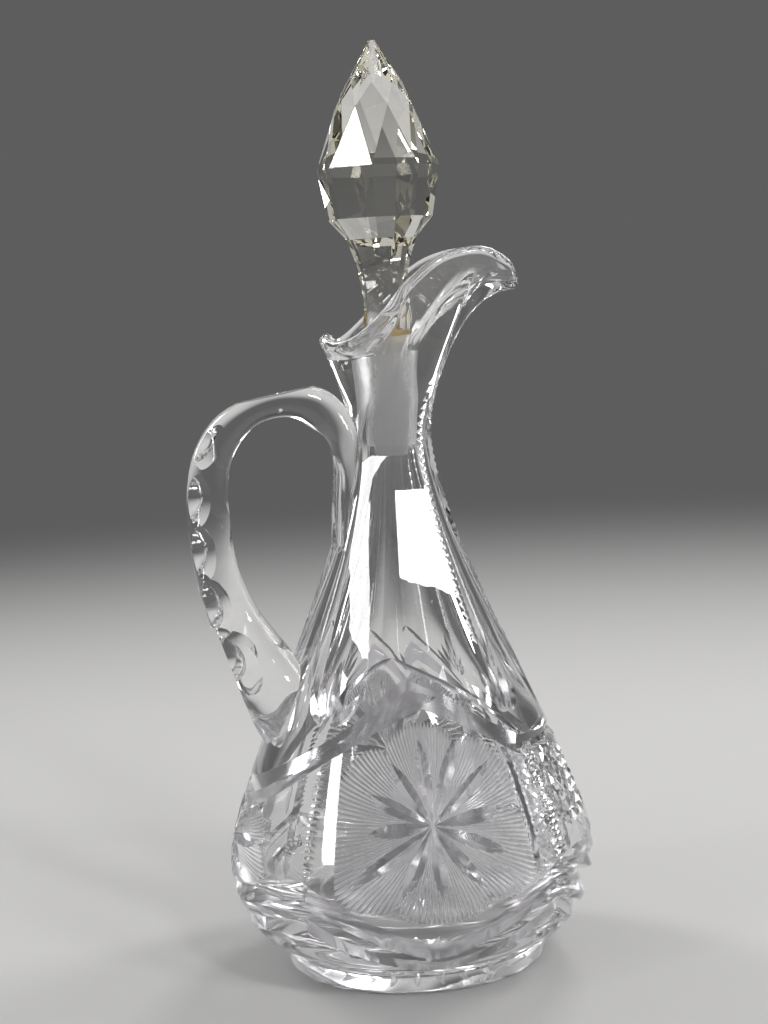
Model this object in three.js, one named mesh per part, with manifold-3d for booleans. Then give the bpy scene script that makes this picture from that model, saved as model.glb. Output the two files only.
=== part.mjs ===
import * as THREE from "three";
import { mergeVertices } from "three/addons/utils/BufferGeometryUtils.js";
import Module from "manifold-3d";

// Cut-glass cruet: a blown body with a pulled-up pouring lip, an applied foot and handle, and a
// ground-in faceted stopper. Millimetres, +Z up. The origin is the centre of the foot's underside,
// on the axis of the body. The spout points to +X and the handle to -X.

const wasm = await Module();
wasm.setup();

// Foot
const FOOT_RADIUS = 34.5;
const FOOT_HEIGHT = 6.4;
const FOOT_EDGE = 1.4; // rounding of the rim, above and below
const FOOT_RAYS = 24;
const FOOT_RAY_INNER = 9;
const FOOT_RAY_OUTER = 31;
const FOOT_RAY_DEPTH = 1.2;
const FOOT_RAY_HALF_WIDTH = 1.5;

// Body, outside
const SEAT_RADIUS = 33; // where the bowl meets the foot
const BELLY_RADIUS = 48.4;
const BELLY_RISE = 22.2; // widest belly above the foot
const BELLY_FULLNESS = 18; // how far the belly runs upright before it draws in
const NECK_RADIUS = 10.6;
const NECK_RISE = 110.8; // narrowest neck above the widest belly
const NECK_STRAIGHTNESS = 28;

// Body, inside
const BASE_THICKNESS = 8.5;
const FLOOR_RADIUS = 22;
const BELLY_WALL = 6;
const SHOULDER_DROP = 2; // the cavity is widest this far above the belly's widest line

// Flutes on the neck
const FLUTES = 8;
const FLUTE_TURN = -6; // degrees that the flutes are turned from the belly pattern, at the neck
const FLUTE_TOP = 13; // end of the flutes above the narrowest neck
const FLUTE_FADE = 16;
const FLUTE_BOTTOM = 52; // lower end of the flutes above the widest belly
const FLUTE_RUNOUT = 16;

// Pouring lip: points of half the rim from the spout's tip round to the back, as forward reach,
// half width and rise above the narrowest neck
const RIM_POINTS = [
  [33.4, 0, 37.2],
  [31.4, 4.8, 42.2],
  [24.5, 8.5, 45.6],
  [14, 11.3, 44],
  [5, 13.4, 38],
  [-2, 14.2, 30.4],
  [-9, 12.2, 24.6],
  [-13.4, 7.2, 23],
  [-15.2, 0, 24],
];
const RIM_THICKNESS = 3.2;
const LIP_LIFT = 0.25; // pull of the neck on the lip's curve, as a share of its length
const LIP_PULL = 0.35; // the same at the rim
const LIP_FLARE = 0.45; // outward lean of the rim away from the spout
const SPOUT_SHARE = 0.09; // share of the rim that leans out flat as the spout

// Ground plug and bore
const PLUG_TOP_RADIUS = 7;
const PLUG_BOTTOM_RADIUS = 5;
const PLUG_LENGTH = 27.9;
const PLUG_CHAMFER = 4;
const PLUG_STANDS_PROUD = 4.6; // plug above the top of the bore
const BORE_TOP_RISE = 21.6; // top of the bore above the narrowest neck
const SEAT_CLEARANCE = 0.3;
const BORE_RUN_PAST = 1.2; // bore below the plug's end

// Stopper's head, heights above the plug's top
const GIRDLE_RADIUS = 15.9;
const GIRDLE_RISE = 42.2;
const STOPPER_TURN = -12; // degrees from the spout to a girdle corner
const POINT_RADIUS = 10.7;
const POINT_RISE = 15; // tips of the girdle triangles above the girdle
const TIP_RISE = 32.1; // top above the girdle
const CULET_RADIUS = 13.5;
const CULET_DROP = 12.8; // lower ring below the girdle
const COLLAR_RADIUS = 9;
const COLLAR_DROP = 18; // top of the stem below the girdle
const STEM_RADIUS = 5.4;
const STEM_DROP = 34.8; // narrowest stem below the girdle

// Handle: centre line as distance from the axis and height above the widest belly, then half
// thickness and half width
const HANDLE_STATIONS = [
  [15.2, 82.8, 2.3, 4.2],
  [13.7, 94.4, 2.7, 5],
  [12.3, 103.4, 3.3, 5.2],
  [13.4, 112, 4.2, 5.4],
  [18.6, 118.3, 5.2, 5.6],
  [26.4, 120.6, 4, 5.7],
  [35, 119, 3.6, 5.7],
  [42.2, 114.4, 4.5, 5.7],
  [46.8, 107.2, 5, 5.7],
  [48.6, 98.4, 5.4, 5.7],
  [48.6, 89.4, 5.5, 5.7],
  [47.9, 80.4, 5.6, 5.8],
  [46, 71.9, 6, 6.1],
  [43.2, 63.9, 6.7, 7],
  [39.4, 55.6, 8.2, 9.2],
  [35.2, 47.6, 9.2, 11.6],
  [31.2, 39.4, 9.4, 12.2],
  [28.8, 33, 8.6, 10.2],
];
const HANDLE_SQUARENESS = 2.6; // 2 is an ellipse, more is squarer
const HANDLE_SEAM = 0.35; // gap kept at the fused joints
const THUMBPRINTS = [0.452, 0.54, 0.627, 0.713, 0.8]; // places along the handle
const THUMBPRINT_RADIUS = 16;
const THUMBPRINT_DEPTH = 1.5;

// Cut pattern on the belly
const ROSETTES = 4;
const ROSETTE_RISE = 17.6; // centre of a rosette above the widest belly
const STAR_LEAVES = 12;
const LEAF_LONG = 22.5;
const LEAF_SHORT = 17;
const LEAF_DEPTH = 1.6;
const LEAF_HALF_WIDTH = 1.7;
const COLUMN_HALF_ANGLE = 8;
const COLUMN_LOW = 4; // foot of a column above the widest belly
const COLUMN_HIGH = 31.5;
const MITRE_DEPTH = 1.3;
const MITRE_HALF_WIDTH = 1.25;
// Grooves of the arched bands over a rosette, as degrees from its centre and height above the
// widest belly, and of the swags under it
const BAND_GROOVES = [
  [[-2, 57.5], [8, 52.6], [20, 45.6], [33, 39], [44, 35]],
  [[-8, 46.6], [2, 44], [14, 40.6], [25, 36.8], [37, 32], [47, 29.6]],
];
const BAND_LEFT_OF_HANDLE = [
  [[0, 57.5], [14, 50.4], [31.7, 40.2], [43.7, 35.6], [60, 30], [76, 26.2], [92, 24]],
  [[-8, 46.6], [2, 44], [17.5, 39.9], [30, 35.6], [42, 31.6], [67.8, 20.4], [92, 13.4]],
];
const SWAG_GROOVES = [
  [[-4, -12], [12, -8.4], [30, -2.4], [45, 2.4]],
  [[-4, -16.4], [12, -12.9], [30, -7.1], [45, -2.6]],
];
const FAN_RAYS = [-44, -22, 0, 22, 44]; // degrees from upright
const FAN_RISE = 37; // root of a fan above the widest belly
const FAN_GAP = 4;
const FAN_LENGTH = 13.5;
const FAN_DEPTH = 1.2;
const HANDLE_ROSETTE_RISE = 6;
const HANDLE_LEAF_LENGTH = 15;

// Finish
const GLASS = { color: 0xe6e4ea, roughness: 0.04, metalness: 0, transparent: true, opacity: 0.45 };
const STOPPER_GLASS = { ...GLASS, color: 0xeeebd8 };

// Number of steps in the faceted surfaces
const COLUMNS = 32;
const BOWL_ROWS = 5;
const BELLY_ROWS = 14;
const LIP_ROWS = 7;
const CAVITY_ROWS = 9;
const LEAF_STEPS = 4;
const GROOVE_STEPS = 2;
const HANDLE_RINGS = 36;
const HANDLE_SIDES = 12;

// Heights and radii that follow from them
const bellyZ = FOOT_HEIGHT + BELLY_RISE;
const neckZ = bellyZ + NECK_RISE;
const floorZ = FOOT_HEIGHT + BASE_THICKNESS;
const boreTopZ = neckZ + BORE_TOP_RISE;
const plugTopZ = boreTopZ + PLUG_STANDS_PROUD;
const plugBottomZ = plugTopZ - PLUG_LENGTH;
const boreBottomZ = plugBottomZ - BORE_RUN_PAST;
const girdleZ = plugTopZ + GIRDLE_RISE;
const tipZ = girdleZ + TIP_RISE;
const UP = new THREE.Vector3(0, 0, 1);
const radians = THREE.MathUtils.degToRad;
const smooth = THREE.MathUtils.smoothstep;
const lerp = THREE.MathUtils.lerp;

const belly = new THREE.CubicBezierCurve(
  new THREE.Vector2(BELLY_RADIUS, bellyZ),
  new THREE.Vector2(BELLY_RADIUS, bellyZ + BELLY_FULLNESS),
  new THREE.Vector2(NECK_RADIUS, neckZ - NECK_STRAIGHTNESS),
  new THREE.Vector2(NECK_RADIUS, neckZ),
);
const cavity = new THREE.CubicBezierCurve(
  new THREE.Vector2(BELLY_RADIUS - BELLY_WALL, bellyZ + SHOULDER_DROP),
  new THREE.Vector2(BELLY_RADIUS - BELLY_WALL, bellyZ + SHOULDER_DROP + BELLY_FULLNESS),
  new THREE.Vector2(boreRadius(boreBottomZ), boreBottomZ - NECK_STRAIGHTNESS),
  new THREE.Vector2(boreRadius(boreBottomZ), boreBottomZ),
);
const rim = new THREE.CatmullRomCurve3(rimLoop(), true, "centripetal");

function plugRadius(z) {
  return lerp(PLUG_BOTTOM_RADIUS, PLUG_TOP_RADIUS, (z - plugBottomZ) / PLUG_LENGTH);
}

function boreRadius(z) {
  return plugRadius(z) + SEAT_CLEARANCE;
}

function rimLoop() {
  const half = RIM_POINTS.map(([x, y, rise]) => new THREE.Vector3(x, y, neckZ + rise));
  const back = half.slice(1, -1).reverse();
  return [...half, ...back.map((p) => new THREE.Vector3(p.x, -p.y, p.z))];
}

function bowlPoint(t) {
  const angle = (t * Math.PI) / 2;
  const r = SEAT_RADIUS + (BELLY_RADIUS - SEAT_RADIUS) * Math.sin(angle);
  return new THREE.Vector2(r, bellyZ - BELLY_RISE * Math.cos(angle));
}

// Radius of the outside at a height between the foot and the neck, before any cutting
function outerRadius(z) {
  if (z < bellyZ) return bowlPoint(Math.acos((bellyZ - z) / BELLY_RISE) / (Math.PI / 2)).x;
  let low = 0;
  let high = 1;
  for (let i = 0; i < 30; i++) {
    const middle = (low + high) / 2;
    if (belly.getPoint(middle).y < z) low = middle;
    else high = middle;
  }
  return belly.getPoint(low).x;
}

function fluteShare(z) {
  const top = 1 - smooth(z, neckZ + FLUTE_TOP - FLUTE_FADE, neckZ + FLUTE_TOP);
  return top * smooth(z, bellyZ + FLUTE_BOTTOM, bellyZ + FLUTE_BOTTOM + FLUTE_RUNOUT);
}

// A fluted ring keeps the full radius on its ridges and is flat between them
function fluteScale(angle, z) {
  const panel = (2 * Math.PI) / FLUTES;
  const across = (((angle % panel) + panel) % panel) - panel / 2;
  return lerp(1, Math.cos(panel / 2) / Math.cos(across), fluteShare(z));
}

function fluteTwist(z) {
  return radians(FLUTE_TURN) * smooth(z, bellyZ + FLUTE_BOTTOM, bellyZ + FLUTE_BOTTOM + 2 * FLUTE_RUNOUT);
}

function columnAngles() {
  return Array.from({ length: COLUMNS }, (_, i) => (2 * Math.PI * i) / COLUMNS);
}

function polar(radius, angle, z) {
  return new THREE.Vector3(radius * Math.cos(angle), radius * Math.sin(angle), z);
}

function roundRing(radius, z) {
  return columnAngles().map((angle) => polar(radius, angle, z));
}

function flutedRing(radius, z, outset) {
  return columnAngles().map((angle) =>
    polar(radius * fluteScale(angle, z) + outset, angle + fluteTwist(z), z),
  );
}

// Frame of the rim at a column: its middle, the way the sheet leans, and the outer side
function rimFrame(angle) {
  const share = angle / (2 * Math.PI);
  const middle = rim.getPointAt(share);
  const along = rim.getTangentAt(share);
  const out = along.clone().cross(UP).normalize();
  const fromTip = Math.min(share, 1 - share);
  const spout = Math.exp(-((fromTip / SPOUT_SHARE) ** 2));
  const lean = out.multiplyScalar(lerp(LIP_FLARE, 1, spout)).addScaledVector(UP, lerp(0.9, 0, spout));
  const edge = lean.addScaledVector(along, -lean.dot(along)).normalize();
  return { middle, edge, side: along.clone().cross(edge).normalize() };
}

function sheetCurve(start, frame, sideShift) {
  const end = frame.middle.clone().addScaledVector(frame.side, sideShift);
  const length = start.distanceTo(end);
  return new THREE.CubicBezierCurve3(
    start,
    start.clone().addScaledVector(UP, LIP_LIFT * length),
    end.clone().addScaledVector(frame.edge, -LIP_PULL * length),
    end,
  );
}

function outerLipRings(outset) {
  const curves = columnAngles().map((angle) => {
    const start = polar(NECK_RADIUS + outset, angle + fluteTwist(neckZ), neckZ);
    return sheetCurve(start, rimFrame(angle), RIM_THICKNESS / 2 + outset);
  });
  return steps(1, LIP_ROWS).map((share) =>
    curves.map((curve, i) => {
      const p = curve.getPoint(share);
      const scale = fluteScale(columnAngles()[i], p.z);
      return new THREE.Vector3(p.x * scale, p.y * scale, p.z);
    }),
  );
}

function innerLipRings() {
  const curves = columnAngles().map((angle) => {
    const start = polar(boreRadius(boreTopZ), angle + fluteTwist(neckZ), boreTopZ);
    return sheetCurve(start, rimFrame(angle), -RIM_THICKNESS / 2);
  });
  return steps(0, LIP_ROWS)
    .reverse()
    .map((share) => curves.map((curve) => curve.getPoint(share)));
}

function beadRings() {
  return [1, 2, 3].map((i) => {
    const turn = (i * Math.PI) / 4;
    return columnAngles().map((angle) => {
      const frame = rimFrame(angle);
      return frame.middle
        .clone()
        .addScaledVector(frame.side, (Math.cos(turn) * RIM_THICKNESS) / 2)
        .addScaledVector(frame.edge, (Math.sin(turn) * RIM_THICKNESS) / 2);
    });
  });
}

function steps(first, count) {
  return Array.from({ length: count - first + 1 }, (_, i) => (first + i) / count);
}

function outsideRings(outset) {
  const bowl = steps(0, BOWL_ROWS).map((t) => bowlPoint(t));
  const upper = steps(1, BELLY_ROWS).map((t) => belly.getPoint(t));
  const rings = [...bowl, ...upper].map((p) => flutedRing(p.x, p.y, outset));
  return [...rings, ...outerLipRings(outset)];
}

function cavityRings() {
  const upper = steps(0, CAVITY_ROWS).map((t) => cavity.getPoint(1 - t));
  const top = bellyZ + SHOULDER_DROP;
  const lower = steps(1, BOWL_ROWS).map((t) => {
    const angle = (t * Math.PI) / 2;
    const reach = BELLY_RADIUS - BELLY_WALL - FLOOR_RADIUS;
    return new THREE.Vector2(FLOOR_RADIUS + reach * Math.cos(angle), top - (top - floorZ) * Math.sin(angle));
  });
  return [...upper, ...lower].map((p) => turnedRing(p.x, p.y));
}

// Rings inside the neck follow the same turn as the columns of the lip
function turnedRing(radius, z) {
  return columnAngles().map((angle) => polar(radius, angle + fluteTwist(z), z));
}

// Closed solid through rings of equal length that run anticlockwise about the way they are stacked
function loft(rings) {
  const count = rings[0].length;
  const positions = rings.flat().flatMap((p) => [p.x, p.y, p.z]);
  const index = [];
  for (let row = 0; row + 1 < rings.length; row++) {
    for (let i = 0; i < count; i++) {
      const a = row * count + i;
      const b = row * count + ((i + 1) % count);
      index.push(a, b, b + count, a, b + count, a + count);
    }
  }
  const last = (rings.length - 1) * count;
  for (let i = 1; i + 1 < count; i++) {
    index.push(0, i + 1, i);
    index.push(last, last + i, last + i + 1);
  }
  return new THREE.BufferGeometry()
    .setAttribute("position", new THREE.Float32BufferAttribute(positions, 3))
    .setIndex(index);
}

function toManifold(geometry) {
  const bare = geometry.clone();
  bare.deleteAttribute("normal");
  bare.deleteAttribute("uv");
  const merged = mergeVertices(bare, 1e-4);
  return new wasm.Manifold(
    new wasm.Mesh({
      numProp: 3,
      vertProperties: new Float32Array(merged.attributes.position.array),
      triVerts: new Uint32Array(merged.index.array),
    }),
  );
}

function toGeometry(manifold) {
  const mesh = manifold.getMesh();
  const geometry = new THREE.BufferGeometry()
    .setAttribute("position", new THREE.BufferAttribute(mesh.vertProperties, 3))
    .setIndex(new THREE.BufferAttribute(mesh.triVerts, 1));
  geometry.computeVertexNormals();
  return geometry;
}

function joined(solids) {
  return solids.reduce((all, next) => all.add(next));
}

function named(name, geometry, finish) {
  const mesh = new THREE.Mesh(geometry, new THREE.MeshStandardMaterial(finish));
  mesh.name = name;
  return mesh;
}

// Point and outward normal on the uncut outside
function onBelly(degrees, rise) {
  const z = bellyZ + rise;
  const angle = radians(degrees);
  const slope = (outerRadius(z + 0.2) - outerRadius(z - 0.2)) / 0.4;
  return {
    point: polar(outerRadius(z), angle, z),
    normal: new THREE.Vector3(Math.cos(angle), Math.sin(angle), -slope).normalize(),
  };
}

// V-shaped wheel cut along stations of point and normal. It runs out at its ends: over its whole
// length where runOut is 1, as a leaf does, or over a smaller share of it.
function vCut(stations, halfWidth, depth, runOut) {
  const above = 1.2;
  const rings = stations.map(({ point, normal }, i) => {
    const before = stations[Math.max(i - 1, 0)].point;
    const after = stations[Math.min(i + 1, stations.length - 1)].point;
    const side = normal.clone().cross(after.clone().sub(before)).normalize();
    const share = i / (stations.length - 1);
    const fromEnd = Math.min(1, (2 * Math.min(share, 1 - share)) / runOut);
    const deep = depth * (1 - (1 - fromEnd) ** 2) - 0.05;
    const half = ((deep + above) * halfWidth) / depth;
    const top = point.clone().addScaledVector(normal, above);
    return [
      point.clone().addScaledVector(normal, -deep),
      top.clone().addScaledVector(side, half),
      top.clone().addScaledVector(side, -half),
    ];
  });
  return toManifold(loft(rings));
}

function leafCut(centre, rise, direction, start, length, halfWidth, depth) {
  const radius = outerRadius(bellyZ + rise);
  const stations = steps(0, LEAF_STEPS).map((share) => {
    const reach = start + share * length;
    const across = reach * Math.cos(radians(direction));
    return onBelly(centre + THREE.MathUtils.radToDeg(across / radius), rise + reach * Math.sin(radians(direction)));
  });
  return vCut(stations, halfWidth, depth, 1);
}

// Groove through points of degrees and rise, mirrored about a rosette's centre where hand is -1
function pathCut(points, centre, hand) {
  const curve = new THREE.CatmullRomCurve3(
    points.map(([degrees, rise]) => new THREE.Vector3(centre + hand * degrees, rise, 0)),
  );
  const count = GROOVE_STEPS * (points.length - 1);
  const stations = curve.getPoints(count).map((p) => onBelly(p.x, p.y));
  return vCut(stations, MITRE_HALF_WIDTH, MITRE_DEPTH, 0.25);
}

function starCuts(centre, rise, longest, shortest) {
  return Array.from({ length: STAR_LEAVES }, (_, i) => {
    const length = i % 2 ? longest : shortest;
    return leafCut(centre, rise, (i * 360) / STAR_LEAVES, 0.6, length, LEAF_HALF_WIDTH, LEAF_DEPTH);
  });
}

function columnCuts(centre) {
  return [-COLUMN_HALF_ANGLE, COLUMN_HALF_ANGLE].map((offset) => {
    const stations = steps(0, LEAF_STEPS).map((t) => onBelly(centre + offset, lerp(COLUMN_LOW, COLUMN_HIGH, t)));
    return vCut(stations, MITRE_HALF_WIDTH, MITRE_DEPTH, 0.25);
  });
}

function fanCuts(centre) {
  return FAN_RAYS.map((lean) =>
    leafCut(centre, FAN_RISE, 90 + lean, FAN_GAP, FAN_LENGTH, LEAF_HALF_WIDTH, FAN_DEPTH),
  );
}

function patternCuts() {
  const period = 360 / ROSETTES;
  const cuts = [];
  for (let i = 0; i < ROSETTES; i++) {
    const centre = i * period;
    const atHandle = centre === 180;
    if (atHandle) cuts.push(...starCuts(centre, HANDLE_ROSETTE_RISE, HANDLE_LEAF_LENGTH, HANDLE_LEAF_LENGTH));
    else cuts.push(...starCuts(centre, ROSETTE_RISE, LEAF_LONG, LEAF_SHORT));
    cuts.push(...columnCuts(centre + period / 2));
    cuts.push(...fanCuts(centre + period / 2));
    for (const hand of [-1, 1]) {
      for (const swag of SWAG_GROOVES) cuts.push(pathCut(swag, centre, hand));
      if (!atHandle) cuts.push(...bandCuts(centre, hand, centre + hand * period === 180));
    }
  }
  return cuts;
}

// The bands pass below the handle's foot, and rise over every other rosette
function bandCuts(centre, hand, towardsHandle) {
  const grooves = towardsHandle ? BAND_LEFT_OF_HANDLE : BAND_GROOVES;
  return grooves.map((points) => pathCut(points, centre, hand));
}

function bodySolid() {
  const rings = [
    ...outsideRings(0),
    ...beadRings(),
    ...innerLipRings(),
    turnedRing(boreRadius(lerp(boreBottomZ, boreTopZ, 0.5)), lerp(boreBottomZ, boreTopZ, 0.5)),
    ...cavityRings(),
  ];
  return toManifold(loft(rings)).subtract(joined(patternCuts()));
}

function footSolid() {
  const rimProfile = [];
  for (const [z, from] of [[FOOT_EDGE, -90], [FOOT_HEIGHT - FOOT_EDGE, 0]]) {
    for (const turn of [0, 30, 60, 90]) {
      const angle = radians(from + turn);
      rimProfile.push([FOOT_RADIUS - FOOT_EDGE + FOOT_EDGE * Math.cos(angle), z + FOOT_EDGE * Math.sin(angle)]);
    }
  }
  const disc = toManifold(loft(rimProfile.map(([r, z]) => roundRing(r, z))));
  const rays = Array.from({ length: FOOT_RAYS }, (_, i) => {
    const angle = (2 * Math.PI * (i + 0.5)) / FOOT_RAYS;
    const stations = steps(0, LEAF_STEPS).map((t) => ({
      point: polar(lerp(FOOT_RAY_INNER, FOOT_RAY_OUTER, t), angle, 0),
      normal: new THREE.Vector3(0, 0, -1),
    }));
    return vCut(stations, FOOT_RAY_HALF_WIDTH, FOOT_RAY_DEPTH, 1);
  });
  return disc.subtract(joined(rays));
}

function handleFrames() {
  const stations = HANDLE_STATIONS.map(([r, rise]) => new THREE.Vector3(-r, 0, bellyZ + rise));
  const sizes = HANDLE_STATIONS.map(([, , thick, wide]) => new THREE.Vector3(thick, wide, 0));
  return { path: new THREE.CatmullRomCurve3(stations), sizes: new THREE.CatmullRomCurve3(sizes) };
}

// Centre, thickness axis that points away from the finger gap, and half sizes at a share of the handle
function handleStation(frames, share) {
  const along = frames.path.getTangent(share);
  const size = frames.sizes.getPoint(share);
  return {
    centre: frames.path.getPoint(share),
    outward: new THREE.Vector3(0, 1, 0).cross(along).normalize(),
    thick: size.x,
    wide: size.y,
  };
}

function handleRing({ centre, outward, thick, wide }, scale) {
  return Array.from({ length: HANDLE_SIDES }, (_, i) => {
    const angle = (2 * Math.PI * i) / HANDLE_SIDES;
    const power = 2 / HANDLE_SQUARENESS;
    const across = Math.sign(Math.cos(angle)) * Math.abs(Math.cos(angle)) ** power;
    const beside = Math.sign(Math.sin(angle)) * Math.abs(Math.sin(angle)) ** power;
    return centre
      .clone()
      .addScaledVector(outward, scale * thick * across)
      .add(new THREE.Vector3(0, scale * wide * beside, 0));
  });
}

function thumbprint(frames, share, hand) {
  const { centre, outward, thick, wide } = handleStation(frames, share);
  const reach = Math.hypot(thick, wide) / HANDLE_SQUARENESS ** 0.4;
  const towards = outward.clone().add(new THREE.Vector3(0, hand, 0)).normalize();
  const ball = new THREE.SphereGeometry(THUMBPRINT_RADIUS, 28, 18);
  const place = centre.clone().addScaledVector(towards, reach + THUMBPRINT_RADIUS - THUMBPRINT_DEPTH);
  return toManifold(ball.translate(place.x, place.y, place.z));
}

function handleSolid() {
  const frames = handleFrames();
  const rings = steps(0, HANDLE_RINGS).map((share) => handleRing(handleStation(frames, share), 1));
  const tail = handleStation(frames, 0);
  tail.centre.addScaledVector(frames.path.getTangent(0), -tail.thick);
  rings.unshift(handleRing(tail, 0.5));
  const rod = toManifold(loft(rings));
  const envelope = toManifold(loft(outsideRings(HANDLE_SEAM)));
  const prints = THUMBPRINTS.flatMap((share) => [1, -1].map((hand) => thumbprint(frames, share, hand)));
  return rod.subtract(envelope).subtract(joined(prints));
}

// The head's octagon as a ring of as many points as the round plug, so that it joins it point to point
function octagonRing(radius, z) {
  const panel = Math.PI / 4;
  return columnAngles().map((angle) => {
    const across = (angle % panel) - panel / 2;
    return polar((radius * Math.cos(panel / 2)) / Math.cos(across), angle + radians(STOPPER_TURN), z);
  });
}

// Where the kite faces meet the top faces
function kiteTop() {
  const narrowing = Math.cos(Math.PI / 8);
  const slope = (GIRDLE_RADIUS - POINT_RADIUS * narrowing) / POINT_RISE;
  const topSlope = POINT_RADIUS / (TIP_RISE - POINT_RISE);
  const rise = (topSlope * TIP_RISE - GIRDLE_RADIUS * narrowing) / (topSlope - slope * narrowing);
  return { radius: GIRDLE_RADIUS - slope * rise, rise };
}

function stemRings() {
  const stem = new THREE.CatmullRomCurve3(
    [
      [COLLAR_RADIUS, COLLAR_DROP],
      [lerp(COLLAR_RADIUS, STEM_RADIUS, 0.62), lerp(COLLAR_DROP, STEM_DROP, 0.42)],
      [STEM_RADIUS, STEM_DROP],
      [STEM_RADIUS + 0.6, GIRDLE_RISE - 1.5],
    ].map(([r, drop]) => new THREE.Vector3(r, girdleZ - drop, 0)),
  );
  return steps(0, 8).map((t) => {
    const p = stem.getPoint(1 - t);
    return octagonRing(p.x, p.y);
  });
}

function plugRings() {
  const turned = (radius, z) => columnAngles().map((a) => polar(radius, a + radians(STOPPER_TURN), z));
  return [
    turned(PLUG_BOTTOM_RADIUS - 1.2, plugBottomZ - PLUG_CHAMFER),
    turned(PLUG_BOTTOM_RADIUS, plugBottomZ),
    turned(plugRadius(plugTopZ), plugTopZ),
  ];
}

function stopperGeometry() {
  const rings = [
    ...plugRings(),
    ...stemRings(),
    octagonRing(CULET_RADIUS, girdleZ - CULET_DROP),
    octagonRing(GIRDLE_RADIUS, girdleZ),
  ];
  const lower = toManifold(loft(rings));
  return toGeometry(lower.add(headSolid()));
}

// Faceted head above the girdle: eight triangles, eight kites and eight top faces that meet in the tip
function headSolid() {
  const kite = kiteTop();
  const positions = [];
  const put = (p) => positions.push(p.x, p.y, p.z) / 3 - 1;
  const corner = (k, half) => radians(STOPPER_TURN + (k + half) * 45);
  const ring = (radius, z, half) => Array.from({ length: 8 }, (_, k) => put(polar(radius, corner(k, half), z)));
  const base = ring(GIRDLE_RADIUS, girdleZ, 0);
  const points = ring(POINT_RADIUS, girdleZ + POINT_RISE, 0.5);
  const tops = ring(kite.radius, girdleZ + kite.rise, 0);
  const tip = put(new THREE.Vector3(0, 0, tipZ));
  const centre = put(new THREE.Vector3(0, 0, girdleZ));
  const index = [];
  for (let k = 0; k < 8; k++) {
    const next = (k + 1) % 8;
    index.push(centre, base[next], base[k]);
    index.push(base[k], base[next], points[k]);
    index.push(base[next], tops[next], points[k], base[k], points[k], tops[k]);
    index.push(points[k], tops[next], tip, points[k], tip, tops[k]);
  }
  const geometry = new THREE.BufferGeometry()
    .setAttribute("position", new THREE.Float32BufferAttribute(positions, 3))
    .setIndex(index);
  return toManifold(geometry);
}

const cruet = new THREE.Group();
cruet.add(named("foot", toGeometry(footSolid()), GLASS));
cruet.add(named("body", toGeometry(bodySolid()), GLASS));
cruet.add(named("handle", toGeometry(handleSolid()), GLASS));
cruet.add(named("stopper", stopperGeometry(), STOPPER_GLASS));

export default cruet;
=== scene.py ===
import math

import bpy
import numpy as np
from mathutils import Matrix, Quaternion, Vector


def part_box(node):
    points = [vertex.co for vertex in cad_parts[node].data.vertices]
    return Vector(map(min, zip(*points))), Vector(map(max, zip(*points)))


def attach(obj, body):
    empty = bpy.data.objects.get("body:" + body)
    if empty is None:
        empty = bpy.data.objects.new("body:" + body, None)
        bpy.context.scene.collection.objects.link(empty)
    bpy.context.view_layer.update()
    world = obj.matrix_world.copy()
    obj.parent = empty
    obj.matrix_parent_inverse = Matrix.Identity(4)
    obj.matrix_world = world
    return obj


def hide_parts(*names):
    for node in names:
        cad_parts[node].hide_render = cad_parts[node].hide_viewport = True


# Cut-glass cruet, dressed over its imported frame. Lengths here are millimetres and angles degrees
# unless a name says otherwise; meshes are scaled to metres when they are made. The spout points to
# +X and the handle to -X. Angles round the axis start at the spout.

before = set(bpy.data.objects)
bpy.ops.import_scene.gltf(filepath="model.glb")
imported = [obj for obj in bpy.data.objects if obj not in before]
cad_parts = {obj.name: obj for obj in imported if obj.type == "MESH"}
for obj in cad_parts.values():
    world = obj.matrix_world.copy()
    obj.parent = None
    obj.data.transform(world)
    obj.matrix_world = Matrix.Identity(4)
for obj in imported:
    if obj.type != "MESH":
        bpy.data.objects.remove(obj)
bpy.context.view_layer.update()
MM = 0.001
body_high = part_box("body")[1] / MM
foot_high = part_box("foot")[1] / MM
stopper_low, stopper_high = (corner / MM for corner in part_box("stopper"))

# Foot
FOOT_RADIUS = foot_high.x
FOOT_HEIGHT = foot_high.z
FOOT_EDGE = 1.4
FOOT_UNDERSIDE = (9, 20, 31)  # radii of the rings of its flat underside
FOOT_SIDE = [(0, 3.2), (0, 4.5), (0.15, 5.1), (0.5, 5.6), (1.0, 5.9)]  # distance in from its rim, height
FOOT_SEAM = [(0.2, 6.1), (1.6, 6.2)]  # distance in from the body's seat, height
FOOT_RAYS = 24
FOOT_RAY_REACH = (6, 24)
FOOT_RAY_WIDTH, FOOT_RAY_DEPTH = 1.1, 0.8

# Body, outside and inside
SEAT_RADIUS = 33.0
BELLY_RADIUS = body_high.y
BELLY_Z = FOOT_HEIGHT + 22.2
BELLY_FULLNESS = 18.0
NECK_RADIUS = 10.6
NECK_Z = BELLY_Z + 110.8
NECK_STRAIGHTNESS = 28.0
FLOOR_Z = FOOT_HEIGHT + 8.5
FLOOR_RADIUS = 22.0
CAVITY_RADIUS = BELLY_RADIUS - 6.0
CAVITY_Z = BELLY_Z + 2.0
FLOOR_RING_SHARES = (0.7, 0.35)

# Flutes of the neck
FLUTES = 8
FLUTE_TURN = -6.0
FLUTE_FADE_Z = (NECK_Z + 4.0, NECK_Z + 16.0)
FLUTE_RUNOUT_Z = (BELLY_Z + 38.0, BELLY_Z + 60.0)
FLUTE_TWIST_Z = (BELLY_Z + 8.0, BELLY_Z + 60.0)

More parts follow.
